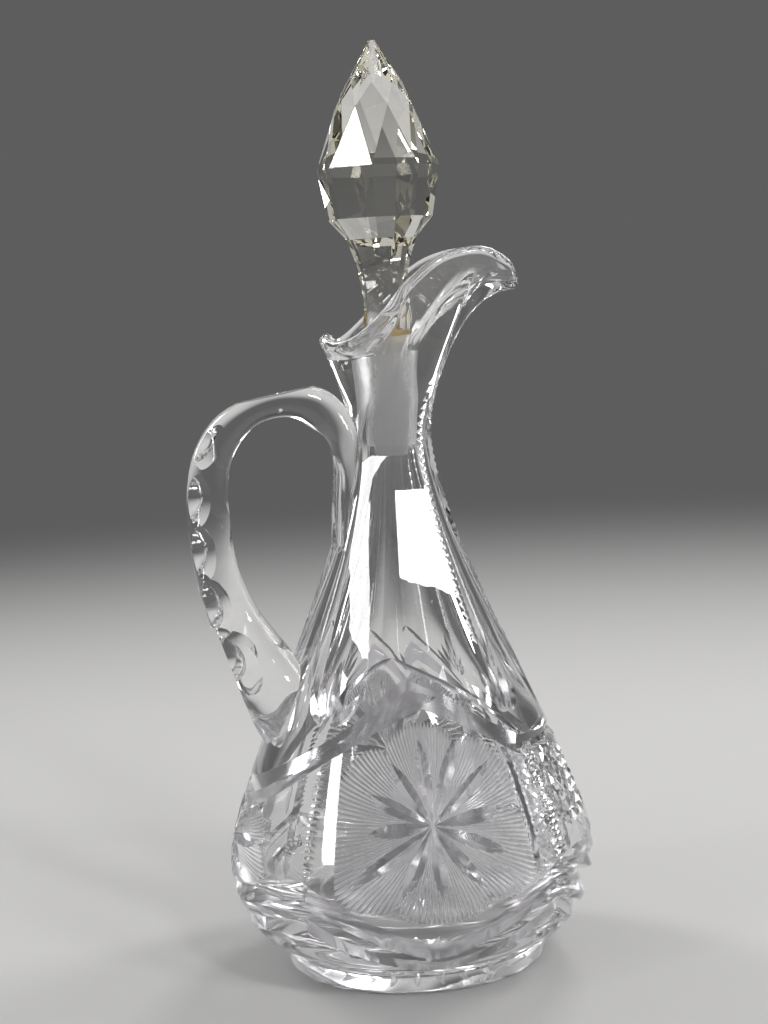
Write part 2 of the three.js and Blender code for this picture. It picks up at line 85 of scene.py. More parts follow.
# Pouring lip: half of the rim from the spout's tip to the back, as forward reach, half width, rise
RIM_POINTS = [
    (33.4, 0, 37.2),
    (31.4, 4.8, 42.2),
    (24.5, 8.5, 45.6),
    (14, 11.3, 44),
    (5, 13.4, 38),
    (-2, 14.2, 30.4),
    (-9, 12.2, 24.6),
    (-13.5, 7.2, 23.2),
    (-15.6, 0, 24.9),
]
RIM_THICKNESS = 3.2
RIM_SWELL, RIM_SWELL_SHARE = 0.16, 0.07  # extra thickness of the lobe at the back
LIP_LIFT = 0.18
LIP_PULL = 0.35
LIP_FLARE = 0.45
LIP_RISE = 0.9
SPOUT_SHARE = 0.09

# Plug and bore
PLUG_TOP_RADIUS = 7.0
PLUG_BOTTOM_RADIUS = 5.0
PLUG_LENGTH = 27.9
PLUG_CHAMFER = 4.0
PLUG_END = [(1.2, 4.0), (0.2, 0.6)]  # distance in from the plug's end radius, and below its taper
PLUG_BOTTOM_Z = stopper_low.z + PLUG_CHAMFER
PLUG_TOP_Z = PLUG_BOTTOM_Z + PLUG_LENGTH
BORE_TOP_Z = PLUG_TOP_Z - 4.6
BORE_BOTTOM_Z = PLUG_BOTTOM_Z - 1.2
SEAT_CLEARANCE = 0.3
GROUND_BORE_RADIUS = PLUG_TOP_RADIUS + 1  # the ground part of the bore lies inside this
GROUND_PLUG_TOP_Z = PLUG_TOP_Z - 0.1

# Stopper's head
TIP_Z = stopper_high.z
GIRDLE_Z = PLUG_TOP_Z + 42.2
GIRDLE_RADIUS = 15.9
STOPPER_SIDES = 8
STOPPER_STEP = 360 / STOPPER_SIDES
STOPPER_TURN = -12.0
POINT_RADIUS = 10.7
POINT_RISE = 15.0
CULET_RADIUS = 13.5
CULET_DROP = 12.8
COLLAR_RADIUS = 9.0
COLLAR_DROP = 18.0
STEM_RADIUS = 5.4
STEM_DROP = 34.8
STEM_BEND = (0.62, 0.42)  # share of the narrowing and of the drop where the stem bends
STEM_FOOT = (0.6, 1.5)  # how much wider it ends, and how far above the plug
TIP_FLAT = 0.9

# Handle: distance from the axis, height, half thickness, half width along its middle
HANDLE_STATIONS = [
    (14.6, 113.0, 2.3, 7.2),
    (13.7, 123.0, 2.7, 8.0),
    (12.3, 132.0, 3.3, 7.2),
    (13.4, 140.6, 4.2, 6.2),
    (18.6, 146.9, 5.2, 5.6),
    (26.4, 149.2, 4.0, 5.7),
    (35.0, 147.6, 3.6, 5.7),
    (42.2, 143.0, 4.5, 5.7),
    (46.8, 135.8, 5.0, 5.7),
    (48.6, 127.0, 5.4, 5.7),
    (48.6, 118.0, 5.5, 5.7),
    (47.9, 109.0, 5.6, 5.8),
    (46.0, 100.5, 6.0, 6.1),
    (43.2, 92.5, 6.7, 7.0),
    (39.4, 84.2, 8.2, 9.2),
    (35.2, 76.2, 9.2, 11.6),
    (31.2, 68.0, 9.4, 12.2),
    (28.8, 61.6, 8.6, 10.2),
]
HANDLE_SQUARENESS = 2.6
HANDLE_CORE_INSET = 2.6  # the handle is carried this far into the body's wall, where it is fused
TAIL_LENGTH, TAIL_CLOSING = 2, 0.98  # of the end that lies on the neck and tapers off downward
THUMBPRINTS = (0.452, 0.54, 0.627, 0.713, 0.8)
THUMBPRINT_LEAN = 64.0  # from straight out towards the side
THUMBPRINT_DEPTH = 1.35
THUMBPRINT_AXES = (9.0, 16.0, 14.0)  # half axes: out of the handle, across it and along it
# Flats ground along the handle's outside: from and to as distance from the axis and height
HANDLE_FLATS = [((20.5, 153.4), (41.5, 149.9)), ((49.6, 92.0), (39.6, 61.0))]
FLAT_DEPTH, FLAT_HALF_WIDTH, FLAT_TOP = 0.7, 14.0, 6.0

# Cut pattern. The front and back panels are centred on a rosette; a column stands between panels.
# Lines are lists of (angle from the panel's centre, height).
FRONT, BACK, SPOUT_SIDE, HANDLE_SIDE = 270.0, 90.0, 0.0, 180.0
COLUMN_ANGLE = 42.0  # of a column from the nearest rosette
ROSETTE_Z = 46.2
STAR_LENGTHS = (19.6, 23, 21, 20, 18, 17.5, 15.6, 24.7, 19, 18, 19, 20)
STAR_TURN = 5.0
STAR_START, STAR_WIDTH, STAR_DEPTH = 0.3, 1.9, 1.6
RAYS = 132
RAY_FIELD = (28.0, 24.0)  # half width and half height of the field of rays
RAY_SQUARENESS = (2.2, 2.9)  # of the field's outline above and below its centre
RAY_INNER, RAY_FADE = 4.5, 2.2
RAY_DEPTH = 0.42
LOBES, LOBE_TURN, LOBE_NOTCH = 6, 34.0, 0.2
COLUMN_Z = (32.6, 60.1)
COMB_Z = (COLUMN_Z[0] + 1, COLUMN_Z[1] - 1)
# Parts of a column, first for one by the spout, then for one by the handle. Offsets are from its middle.
MITRE_OFFSETS = ((-8.2, 8.2), (6.8,))
COMB_OFFSETS, COMB_HALF_LENGTHS = (3.4, -1.7), (2.6, 1.7)
HATCH_OFFSET, HATCH_HALF_ANGLE = -3.6, 3.0
MITRE_WIDTH, MITRE_DEPTH = 1.25, 1.3
LINE_WIDTH, LINE_DEPTH = 0.7, 0.6
# Strip between a rosette and the column by the handle
BORDER_DEEP = [(31.0, 29), (33.0, 66)]
BORDER_SHALLOW = [(35.4, 29), (37.4, 66)]
BORDER_DEPTHS = [0.36, 0.33]
COMB_PITCH, COMB_DEPTH = 1.5, 0.75
RIDGE_NOTCH_PITCH, RIDGE_NOTCH_DEPTH, RIDGE_NOTCH_Z = 2.0, 0.7, (88.0, 154.0)
RIDGE_NOTCH_HALF_LENGTH = 2.2
ARCH_LINE = [(-12.5, 85.0), (2, 81.3), (15.8, 77.4), (28, 72.6), (36, 68.4), (44, 63.8)]
ARCH_UPPER = [(-6, 80.3), (2, 78.0), (13, 74.6), (24, 70.4), (35, 66.2), (44, 63.2)]
ARCH_LOWER = [(-8, 75.2), (2, 72.6), (14, 69.2), (25, 65.4), (37, 60.6), (44, 58.4)]
LOW_LINE = [(12.5, 85.0), (24, 82.3), (34, 77.6), (41, 71.6), (47, 65.6)]
LOW_UPPER = [(6, 80.5), (16, 76.6), (31.7, 68.8), (43.7, 64.2), (60, 58.6), (76, 54.2), (92, 51.2)]
LOW_MIDDLE = [(6, 77.6), (18, 72.8), (31.7, 67.0), (43.7, 62.0), (60, 55.6), (76, 50.4), (92, 46.8)]
LOW_LOWER = [(-8, 75.2), (2, 72.6), (17.5, 68.5), (30, 64.2), (42, 59.6), (67.8, 48.6), (92, 41.6)]
# Bevels above a rosette: deep line, shallow line and depths from the panel's centre out
ARCH_BEVELS = [(ARCH_LOWER, ARCH_UPPER, [0.1, 0.35, 1.7])]
LOW_BEVELS = [
    (LOW_MIDDLE, LOW_UPPER, [0.1, 0.5, 1.5, 1.7]),
    (LOW_LOWER, LOW_MIDDLE, [0.1, 0.35, 1.2, 1.5]),
]
# Bevels that hang across a panel: deep line of one half, rise to the shallow line, depths
ROSETTE_SWAGS = [
    ([(0, 17.4), (12, 20.2), (28, 25.8), (42, 31.0)], -5.0, [0.3, 1.3, 3.0]),
    ([(0, 11.2), (12, 12.8), (28, 17.4), (42, 22.4)], -3.4, [0.1, 0.4, 1.6]),
]
SPOUT_SWAGS = [
    ([(0, 58.7), (24, 59.2), (48, 60.2)], 3.0, [2.2, 2.2]),
    ([(0, 20.1), (16, 21.6), (32, 26.2), (48, 31.0)], -5.6, [3.6, 3.4, 3.0]),
    ([(0, 11.6), (16, 13.0), (32, 17.6), (48, 22.4)], -3.8, [2.0, 1.6]),
]
HANDLE_SWAGS = [
    ([(0, 24.4), (16, 25.4), (32, 28.2), (48, 31.0)], -3.8, [2.8, 2.8, 3.0]),
    ([(0, 18.5), (16, 19.0), (32, 20.4), (48, 22.4)], -4.0, [0.9, 1.6]),
]
STEP_LEAN = 0.45  # run of a bevel's wall for each millimetre of its height
FAN_LEANS = (-40, -20, 0, 20, 40)
FAN_ROOT_Z = 65.6
FAN_GAP, FAN_LENGTH, FAN_SHORTENING = 4.0, 14.5, 3.5
FAN_SCALE, FAN_PEAK = 0.8, 0.45  # against a leaf of the star
HANDLE_ROSETTE_Z = 36.5
HANDLE_STAR_LENGTHS = (20.0, 15, 11, 10, 11, 15) * 2
HANDLE_RAY_FIELD = (27.0, 13.0)
HOBNAIL_HALF_ANGLE, HOBNAIL_PITCH, HOBNAIL_DEPTH, HOBNAIL_Z = 38, 4.2, 1.1, (39.2, 57.6)
SPOUT_FAN_Z, SPOUT_FAN_LEANS = 22.0, (-72, -48, -24, 0, 24, 48, 72)
SPOUT_FAN_LENGTH, SPOUT_FAN_SPREAD = 15.5, 8  # length upright, and how much longer at the sides
SPOUT_FAN_GAP, SPOUT_FAN_WIDTH, SPOUT_FAN_DEPTH, SPOUT_FAN_PEAK = 1.5, 3.0, 2.0, 0.55
HATCH_PITCH, HATCH_DEPTH = 1.7, 0.55
HATCH_END = 0.5  # depth at the ends of a cut, against its middle
DIAGONAL = 1.4142  # of a unit square
RUN_OUT = 8  # a cut reaches its depth in one part of this many at each end
HAIR = 0.02  # keeps the edge of a cut from lying exactly in the surface

# Mesh fineness
CURVE_STEPS = 600
COLUMNS = 160
BOWL_ROWS, BELLY_ROWS, LIP_ROWS, BEAD_ROWS = 17, 61, 29, 10
INNER_LIP_ROWS, BORE_ROWS, CAVITY_ROWS, CAVITY_BOWL_ROWS = 25, 9, 34, 15
RIM_STEPS, RIM_REACH = 4001, 12.0
HANDLE_SIDES = 48
HANDLE_RINGS = 150
TAIL_RINGS = 7
CORE_BOWL_ROWS, CORE_BELLY_STEP = 6, 16
SLOPE_SPAN, HATCH_STATION_GAP = 0.2, 2.5
LEAF_STATIONS, LINE_STATIONS, MITRE_STATIONS = 15, 41, 16
RAY_STATIONS, FOOT_RAY_STATIONS, NOTCH_STATIONS = 12, 13, 7
DIMPLE_ROWS, DIMPLE_SIDES, DIMPLE_POLE = 32, 48, 0.02
STOPPER_COLUMNS, PLUG_ROWS, STEM_ROWS = 64, 9, 34
SHARP_ANGLE, STOPPER_SHARP_ANGLE = 22.0, 8.0
UP = np.array([0.0, 0.0, 1.0])
CRYSTAL, GROUND, CUT = 0, 1, 2


# Small geometry helpers
def unit(v):
    return v / np.linalg.norm(v, axis=-1, keepdims=True)


def smooth_step(x, low, high):
    t = np.clip((x - low) / (high - low), 0, 1)
    return t * t * (3 - 2 * t)


def bezier(a, b, c, d, t):
    t = np.asarray(t)[..., None]
    return (1 - t) ** 3 * a + 3 * (1 - t) ** 2 * t * b + 3 * (1 - t) * t * t * c + t**3 * d


def catmull(points, shares, closed=False):
    """Centripetal Catmull-Rom curve through points, at shares of its list of points."""
    p = np.asarray(points, float)
    count = len(p)
    at = np.asarray(shares) * (count if closed else count - 1)
    first = np.minimum(np.floor(at).astype(int), count - 1 if closed else count - 2)
    w = (at - first)[:, None]
    if closed:
        p0, p1, p2, p3 = (p[(first + k) % count] for k in (-1, 0, 1, 2))
    else:
        q = np.vstack([2 * p[0] - p[1], p, 2 * p[-1] - p[-2]])
        p0, p1, p2, p3 = (q[first + k] for k in (0, 1, 2, 3))
    spans = ((p0, p1), (p1, p2), (p2, p3))
    d0, d1, d2 = (np.sqrt(np.linalg.norm(b - a, axis=1))[:, None] for a, b in spans)
    t1 = ((p1 - p0) / d0 - (p2 - p0) / (d0 + d1) + (p2 - p1) / d1) * d1
    t2 = ((p2 - p1) / d1 - (p3 - p1) / (d1 + d2) + (p3 - p2) / d2) * d1
    return p1 + t1 * w + (-3 * p1 + 3 * p2 - 2 * t1 - t2) * w**2 + (2 * p1 - 2 * p2 + t1 + t2) * w**3


def ring_faces(rings, columns, first=0):
    rows = np.arange(rings - 1)[:, None] * columns
    here = np.arange(columns)[None, :]
    beside = (here + 1) % columns
    quads = np.stack([rows + here, rows + beside, rows + beside + columns, rows + here + columns], -1)
    return (quads.reshape(-1, 4) + first).tolist()


def loft(rings):
    """Closed solid through rings of equal length, with flat ends."""
    columns = len(rings[0])
    faces = ring_faces(len(rings), columns)
    last = (len(rings) - 1) * columns
    faces.append(list(range(columns))[::-1])
    faces.append(list(range(last, last + columns)))
    return np.concatenate(rings), faces


def polar(radius, angle, z):
    angle = np.radians(angle)
    return np.stack(np.broadcast_arrays(radius * np.cos(angle), radius * np.sin(angle), z), -1)


angles = np.arange(COLUMNS) * 360 / COLUMNS
stopper_angles = np.arange(STOPPER_COLUMNS) * 360 / STOPPER_COLUMNS


# Outside of the body
curve_shares = np.linspace(0, 1, CURVE_STEPS)
belly_curve = bezier(
    np.array([BELLY_RADIUS, BELLY_Z]),
    np.array([BELLY_RADIUS, BELLY_Z + BELLY_FULLNESS]),
    np.array([NECK_RADIUS, NECK_Z - NECK_STRAIGHTNESS]),
    np.array([NECK_RADIUS, NECK_Z]),
    curve_shares,
)


def bowl_curve(t):
    a = np.asarray(t) * np.pi / 2
    radius = SEAT_RADIUS + (BELLY_RADIUS - SEAT_RADIUS) * np.sin(a)
    return np.stack([radius, BELLY_Z - (BELLY_Z - FOOT_HEIGHT) * np.cos(a)], -1)


outline = np.concatenate([bowl_curve(curve_shares)[:-1], belly_curve])


def outer_radius(z):
    return np.interp(z, outline[:, 1], outline[:, 0])


def flute_share(z):
    return (1 - smooth_step(z, *FLUTE_FADE_Z)) * smooth_step(z, *FLUTE_RUNOUT_Z)


def flute_scale(angle, z):
    panel = 360 / FLUTES
    across = np.radians(angle % panel - panel / 2)
    flat = math.cos(math.radians(panel / 2)) / np.cos(across)
    return 1 + (flat - 1) * flute_share(z)


def flute_twist(z):
    return FLUTE_TURN * smooth_step(z, *FLUTE_TWIST_Z)


def fluted_ring(radius, z, outset=0.0):
    return polar(radius * flute_scale(angles, z) + outset, angles + flute_twist(z), z)


def turned_ring(radius, z):
    return polar(radius, angles + flute_twist(z), z)


def bore_radius(z):
    widening = (PLUG_TOP_RADIUS - PLUG_BOTTOM_RADIUS) * (z - PLUG_BOTTOM_Z) / PLUG_LENGTH
    return PLUG_BOTTOM_RADIUS + widening + SEAT_CLEARANCE


# Pouring lip
def rim_frames():
    half = [np.array([x, y, NECK_Z + rise]) for x, y, rise in RIM_POINTS]
    loop = half + [p * (1, -1, 1) for p in half[-2:0:-1]]
    fine = catmull(loop, np.linspace(0, 1, RIM_STEPS), closed=True)
    length = np.concatenate([[0], np.cumsum(np.linalg.norm(np.diff(fine, axis=0), axis=1))])
    shares = angles / 360
    place = np.interp(shares * length[-1], length, np.arange(len(fine)))
    middle = np.stack([np.interp(place, np.arange(len(fine)), fine[:, k]) for k in range(3)], -1)
    ahead, behind = ((place + step) % (len(fine) - 1) for step in (RIM_REACH, -RIM_REACH))
    along = unit(
        np.stack([np.interp(ahead, np.arange(len(fine)), fine[:, k]) for k in range(3)], -1)
        - np.stack([np.interp(behind, np.arange(len(fine)), fine[:, k]) for k in range(3)], -1)
    )
    out = unit(np.cross(along, UP))
    spout = np.exp(-((np.minimum(shares, 1 - shares) / SPOUT_SHARE) ** 2))[:, None]
    lean = out * (LIP_FLARE + (1 - LIP_FLARE) * spout) + UP * LIP_RISE * (1 - spout)
    edge = unit(lean - along * (lean * along).sum(1, keepdims=True))
    swell = np.exp(-(((shares - 0.5) / RIM_SWELL_SHARE) ** 2))[:, None]
    return middle, edge, unit(np.cross(along, edge)), RIM_THICKNESS / 2 * (1 + RIM_SWELL * swell)


rim_middle, rim_edge, rim_side, rim_half = rim_frames()


def lip_rings(start, side_shift, rows):
    end = rim_middle + rim_side * side_shift
    length = np.linalg.norm(end - start, axis=1, keepdims=True)
    lifted = start + UP * LIP_LIFT * length
    pulled = end - rim_edge * LIP_PULL * length
    return [bezier(start, lifted, pulled, end, t) for t in rows]


def outer_lip():
    start = turned_ring(NECK_RADIUS, NECK_Z)
    rings = lip_rings(start, rim_half, np.linspace(0, 1, LIP_ROWS)[1:])
    for ring in rings:
        ring[:, :2] *= flute_scale(angles, ring[:, 2])[:, None]
    return rings


def rim_bead():
    turns = np.linspace(0, np.pi, BEAD_ROWS)[1:-1]
    return [rim_middle + rim_half * (math.cos(t) * rim_side + math.sin(t) * rim_edge) for t in turns]


def inner_lip():
    start = turned_ring(bore_radius(BORE_TOP_Z), BORE_TOP_Z)
    return lip_rings(start, -rim_half, np.linspace(1, 0, INNER_LIP_ROWS))


# Vessel: foot, body, lip, bore and cavity as one closed skin
def foot_rings():
    flat = FOOT_RADIUS - FOOT_EDGE
    turns = np.radians((22, 45, 68, 90))
    profile = [(r, 0) for r in (*FOOT_UNDERSIDE, flat)]
    profile += [(flat + FOOT_EDGE * math.sin(a), FOOT_EDGE - FOOT_EDGE * math.cos(a)) for a in turns]
    profile += [(FOOT_RADIUS - inset, z) for inset, z in FOOT_SIDE]
    profile += [(SEAT_RADIUS - inset, z) for inset, z in FOOT_SEAM]
    return [polar(r, angles, z) for r, z in profile]


def outer_rings():
    bowl = [fluted_ring(r, z) for r, z in bowl_curve(np.linspace(0, 1, BOWL_ROWS))]
    rows = np.linspace(0, 1, BELLY_ROWS)[1:]
    upper = belly_curve[np.round(rows * (CURVE_STEPS - 1)).astype(int)]
    return bowl + [fluted_ring(r, z) for r, z in upper]


def cavity_rings():
    bottom = bore_radius(BORE_BOTTOM_Z)
    rows = np.linspace(1, 0, CAVITY_ROWS)
    upper = bezier(
        np.array([CAVITY_RADIUS, CAVITY_Z]),
        np.array([CAVITY_RADIUS, CAVITY_Z + BELLY_FULLNESS]),
        np.array([bottom, BORE_BOTTOM_Z - NECK_STRAIGHTNESS]),
        np.array([bottom, BORE_BOTTOM_Z]),
        rows,
    )
    a = np.linspace(0, np.pi / 2, CAVITY_BOWL_ROWS)[1:]
    reach = CAVITY_RADIUS - FLOOR_RADIUS
    lower = np.stack([FLOOR_RADIUS + reach * np.cos(a), CAVITY_Z - (CAVITY_Z - FLOOR_Z) * np.sin(a)], -1)
    floor = [(FLOOR_RADIUS * share, FLOOR_Z) for share in FLOOR_RING_SHARES]
    return [turned_ring(r, z) for r, z in [*upper, *lower, *floor]]


def vessel_skin():
    heights = np.linspace(BORE_TOP_Z, BORE_BOTTOM_Z, BORE_ROWS)[1:-1]
    bore = [turned_ring(bore_radius(z), z) for z in heights]
    outside = foot_rings() + outer_rings() + outer_lip() + rim_bead()
    return loft(outside + inner_lip() + bore + cavity_rings())


# Handle
def handle_path():
    stations = np.array(HANDLE_STATIONS)
    return np.stack([-stations[:, 0], np.zeros(len(stations)), stations[:, 1]], -1), stations[:, 2:]


def handle_frame(shares):
    path, sizes = handle_path()
    centre = catmull(path, shares)
    nudge = 1e-4
    along = unit(catmull(path, np.clip(shares + nudge, 0, 1)) - catmull(path, np.clip(shares - nudge, 0, 1)))
    outward = unit(np.cross(np.array([0.0, 1.0, 0.0]), along))
    return centre, along, outward, catmull(sizes, shares)


def handle_skin():
    centre, along, outward, size = handle_frame(np.linspace(0, 1, HANDLE_RINGS))
    a = np.linspace(0, 2 * np.pi, HANDLE_SIDES, endpoint=False)
    power = 2 / HANDLE_SQUARENESS
    across = np.sign(np.cos(a)) * np.abs(np.cos(a)) ** power
    beside = np.sign(np.sin(a)) * np.abs(np.sin(a)) ** power
    rings = []
    for c, o, (thick, wide) in zip(centre, outward, size):
        rings.append(c + np.outer(thick * across, o) + np.outer(wide * beside, (0, 1, 0)))
    ends = []
    for t in np.linspace(0, 1, TAIL_RINGS)[1:]:
        shrunk = math.sqrt(1 - (TAIL_CLOSING * t) ** 2)
        middle = centre[0] - along[0] * size[0][0] * TAIL_LENGTH * t
        ends.append(middle + (rings[0] - centre[0]) * shrunk)
    return loft(ends[::-1] + rings)


def core_skin():
    """The space that the handle leaves to the body: its outside, drawn in by part of the wall."""
    belly = belly_curve[CORE_BELLY_STEP // 2 :: CORE_BELLY_STEP]
    profile = [*bowl_curve(np.linspace(0, 1, CORE_BOWL_ROWS)), *belly]
    rings = [fluted_ring(r, z, -HANDLE_CORE_INSET) for r, z in profile]
    rings.append(turned_ring(NECK_RADIUS - HANDLE_CORE_INSET, BORE_TOP_Z))
    return loft(rings)


# Cutters
def on_belly(angle, z):
    angle, z = np.broadcast_arrays(np.asarray(angle, float), np.asarray(z, float))
    slope = (outer_radius(z + SLOPE_SPAN) - outer_radius(z - SLOPE_SPAN)) / (2 * SLOPE_SPAN)
    radius = outer_radius(z) * flute_scale(angle - flute_twist(z), z)
    a = np.radians(angle)
    normal = unit(np.stack(np.broadcast_arrays(np.cos(a), np.sin(a), -slope), -1))
    return polar(radius, angle, z), normal


def from_centre(centre, z0, across, rise):
    """Point of the belly at a distance across and up from a centre."""
    return on_belly(centre + np.degrees(across / outer_radius(z0)), z0 + rise)


def groove(points, normals, half_width, depth, profile, above=0.7):
    """V-shaped wheel cut along stations, as deep as depth times its profile."""
    side = unit(np.cross(normals, np.gradient(points, axis=0)))
    deep = (depth * profile - HAIR)[:, None]
    half = (deep + above) * half_width / depth
    top = points + normals * above
    rings = np.stack([points - normals * deep, top + side * half, top - side * half], 1)
    return loft(list(rings))


def bevel(deep, shallow, depth, above=0.8):
    """Flat facet between two lines of points with their normals, sunk along the first by depth."""
    (a, na), (b, nb) = deep, shallow
    depth = depth[:, None]
    away = unit(a - b) * (depth + above) * STEP_LEAN
    rings = np.stack([a - na * depth, a + away + na * above, b + nb * above, b - nb * HAIR], 1)
    return loft(list(rings))


def leaf(centre, z0, direction, start, length, half_width, depth, peak=0.6):
    """Cut that is deepest at peak, as a share of its length, and runs out at both ends."""
    share = np.linspace(0, 1, LEAF_STATIONS)
    reach = start + share * length
    d = math.radians(direction)
    points, normals = from_centre(centre, z0, reach * math.cos(d), reach * math.sin(d))
    profile = 1 - np.where(share < peak, (peak - share) / peak, (share - peak) / (1 - peak)) ** 2
    return groove(points, normals, half_width, depth, profile)


def run_out(share):
    """Depth of a cut that comes out of the glass at both ends."""
    return 1 - (1 - np.minimum(1, RUN_OUT * np.minimum(share, 1 - share))) ** 2


def along_path(points, centre, hand):
    curve = catmull([(centre + hand * a, z, 0) for a, z in points], np.linspace(0, 1, LINE_STATIONS))
    return on_belly(curve[:, 0], curve[:, 1])


def path_cut(points, centre, hand):
    stations = along_path(points, centre, hand)
    share = np.linspace(0, 1, len(stations[0]))
    return groove(*stations, LINE_WIDTH, LINE_DEPTH, run_out(share))


def bevel_cut(deep, shallow, centre, hand, depths):
    """Bevel between two lines, with the depths spread along it from the panel's centre."""
    deep_line, shallow_line = (along_path(line, centre, hand) for line in (deep, shallow))
    share = np.linspace(0, 1, len(deep_line[0]))
    return bevel(deep_line, shallow_line, np.interp(share, np.linspace(0, 1, len(depths)), depths))


def shifted(line, rise):
    return [(angle, z + rise) for angle, z in line]


def swag(centre, line, rise, depths):
    """Bevel across a panel, from the deep line of one half and its mirror image."""
    both = [(-angle, z) for angle, z in line[:0:-1]] + line
    return bevel_cut(both, shifted(both, rise), centre, 1, depths[:0:-1] + depths)


def star(centre, z0, lengths):
    step = 360 / len(lengths)
    return [
        leaf(centre, z0, STAR_TURN + k * step, STAR_START, length, STAR_WIDTH, STAR_DEPTH)
        for k, length in enumerate(lengths)
    ]


def ray_field(centre, z0, half_size):
    """Fine rays that touch side by side, with a scalloped outline."""
    cuts = []
    wide, high = half_size
    for k in range(RAYS):
        a = 2 * math.pi * (k + 0.5) / RAYS
        power = RAY_SQUARENESS[0] if math.sin(a) > 0 else RAY_SQUARENESS[1]
        reach = (abs(math.cos(a) / wide) ** power + abs(math.sin(a) / high) ** power) ** (-1 / power)
        lobe = abs(math.cos(LOBES / 2 * (a - math.radians(LOBE_TURN))))
        reach *= 1 - LOBE_NOTCH + LOBE_NOTCH * math.sqrt(lobe)
        r = RAY_INNER + (reach - RAY_INNER) * np.linspace(0, 1, RAY_STATIONS) ** 0.8
        points, normals = from_centre(centre, z0, r * math.cos(a), r * math.sin(a))
        pitch = 2 * math.pi * wide / RAYS
        fade = np.clip((reach - r) / RAY_FADE, 0, 1) ** 0.5
        cuts.append(groove(points, normals, pitch / 2, RAY_DEPTH, r / wide * fade, above=0.25))
    return cuts


def upright(angle):
    share = np.linspace(0, 1, MITRE_STATIONS)
    stations = on_belly(angle, np.linspace(*COLUMN_Z, MITRE_STATIONS))
    return groove(*stations, MITRE_WIDTH, MITRE_DEPTH, run_out(share))


def notches(middle, low, high, pitch, half_length, half_width, depth):
    """Short cuts across a vertical line, one above another."""
    cuts = []
    share = np.linspace(-1, 1, NOTCH_STATIONS)
    for z in np.arange(low, high, pitch):
        radius = outer_radius(z)
        angle = middle + np.degrees(share * half_length / radius)
        points, normals = on_belly(angle, z)
        cuts.append(groove(points, normals, half_width, depth, 1 - share**2, above=0.5))
    return cuts


def hatch(centre, half_angle, low, high, pitch, depth):
    """Two crossing sets of slanted cuts that leave small diamonds."""
    radius = float(outer_radius((low + high) / 2))
    half_width = math.radians(half_angle) * radius
    height = high - low
    cuts = []
    for hand in (-1, 1):
        for start in np.arange(-height - half_width, half_width, pitch * DIAGONAL):
            x0 = max(-half_width, start)
            x1 = min(half_width, start + height)
            if x1 - x0 < pitch / 2:
                continue
            x = np.linspace(x0, x1, max(4, int((x1 - x0) / HATCH_STATION_GAP)))
            points, normals = on_belly(centre + hand * np.degrees(x / radius), low + x - start)
            profile = np.ones(len(x))
            profile[[0, -1]] = HATCH_END
            cuts.append(groove(points, normals, pitch / 2, depth, profile, above=0.3))
    return cuts


def ridge_notches(centre):
    """Notches along a flute's ridge, which runs on into the lip."""
    column = round(centre / 360 * COLUMNS) % COLUMNS
    line = np.array([ring[column] for ring in [*outer_rings(), *outer_lip()]])
    share = np.linspace(-1, 1, NOTCH_STATIONS)
    cuts = []
    for z in np.arange(*RIDGE_NOTCH_Z, RIDGE_NOTCH_PITCH):
        x, y = (np.interp(z, line[:, 2], line[:, k]) for k in (0, 1))
        radius = math.hypot(x, y)
        angle = np.degrees(math.atan2(y, x) + share * RIDGE_NOTCH_HALF_LENGTH / radius)
        stations = polar(radius, angle, z), polar(1.0, angle, 0.0)
        cuts.append(groove(*stations, RIDGE_NOTCH_PITCH / 2, RIDGE_NOTCH_DEPTH, 1 - share**2))
    return cuts


def fans(centre):
    width, depth = STAR_WIDTH * FAN_SCALE, STAR_DEPTH * FAN_SCALE
    cuts = []
    for lean in FAN_LEANS:
        length = FAN_LENGTH if lean == 0 else FAN_LENGTH - FAN_SHORTENING
        cuts.append(leaf(centre, FAN_ROOT_Z, 90 + lean, FAN_GAP, length, width, depth, FAN_PEAK))
    return cuts


def rosette_panel(centre):
    """Front or back: a rosette under arches, with bevelled swags below it."""
    soft = star(centre, ROSETTE_Z, STAR_LENGTHS) + [swag(centre, *band) for band in ROSETTE_SWAGS]
    for hand in (-1, 1):
        by_handle = math.cos(math.radians(centre + hand * 90)) < 0
        line, bands = (LOW_LINE, LOW_BEVELS) if by_handle else (ARCH_LINE, ARCH_BEVELS)
        soft.append(path_cut(line, centre, hand))
        soft += [bevel_cut(deep, shallow, centre, hand, depths) for deep, shallow, depths in bands]
    return {CUT: soft, GROUND: ray_field(centre, ROSETTE_Z, RAY_FIELD)}


def spout_panel():
    """Hobnail over a fan, under the spout."""
    crisp = hatch(SPOUT_SIDE, HOBNAIL_HALF_ANGLE, *HOBNAIL_Z, HOBNAIL_PITCH, HOBNAIL_DEPTH)
    crisp += ridge_notches(SPOUT_SIDE) + [swag(SPOUT_SIDE, *band) for band in SPOUT_SWAGS]
    size = SPOUT_FAN_WIDTH, SPOUT_FAN_DEPTH, SPOUT_FAN_PEAK
    leaves = []
    for lean in SPOUT_FAN_LEANS:
        length = SPOUT_FAN_LENGTH + SPOUT_FAN_SPREAD * abs(math.sin(math.radians(lean)))
        leaves.append(leaf(SPOUT_SIDE, SPOUT_FAN_Z, 90 + lean, SPOUT_FAN_GAP, length, *size))
    return {CRYSTAL: crisp, CUT: leaves}


def handle_panel():
    """A lower rosette under the handle's foot."""
    crisp = [swag(HANDLE_SIDE, *band) for band in HANDLE_SWAGS]
    leaves = star(HANDLE_SIDE, HANDLE_ROSETTE_Z, HANDLE_STAR_LENGTHS)
    rays = ray_field(HANDLE_SIDE, HANDLE_ROSETTE_Z, HANDLE_RAY_FIELD)
    return {CRYSTAL: crisp, CUT: leaves, GROUND: rays}


